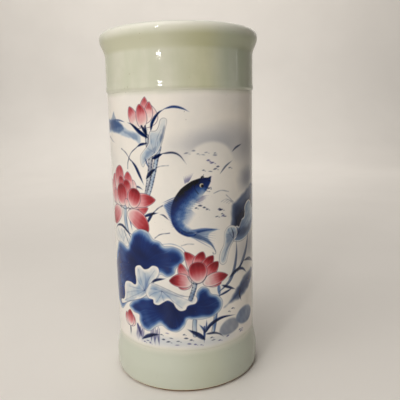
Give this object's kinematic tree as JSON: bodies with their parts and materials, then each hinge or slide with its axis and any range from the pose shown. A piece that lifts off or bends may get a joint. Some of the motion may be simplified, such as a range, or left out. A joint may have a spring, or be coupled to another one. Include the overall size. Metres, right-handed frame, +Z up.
{
  "type": "brush holder pot",
  "caption": "Tall cylindrical porcelain pot with a rolled lip, a raised band under it and a turned foot ring, for standing brushes in.",
  "frame": {"origin": "centre of the foot ring's contact face, on the surface that the pot stands on", "axes": "+Z up along the pot's axis. -Y is the side of the painted panel with the fish and the large lotus leaves"},
  "size_m": [0.1626, 0.1626, 0.357],
  "materials": {
    "bare_clay": "unglazed, fired to a warm brown at the edge",
    "porcelain_body": "fired white porcelain clay",
    "celadon_glaze": "glossy pale grey-green celadon glaze",
    "painted_glaze": "glossy clear glaze over blue and red painting on a white ground",
    "clear_glaze": "glossy clear glaze on white clay"
  },
  "bodies": {
    "root": {"foot_ring": "bare_clay", "floor_slab": "porcelain_body", "wall": "porcelain_body", "rolled_lip": "porcelain_body", "upper_celadon_coat": "celadon_glaze", "painted_panel_coat": "painted_glaze", "lower_celadon_coat": "celadon_glaze", "inner_glaze_coat": "clear_glaze", "base_glaze_coat": "clear_glaze"}
  },
  "joints": []
}
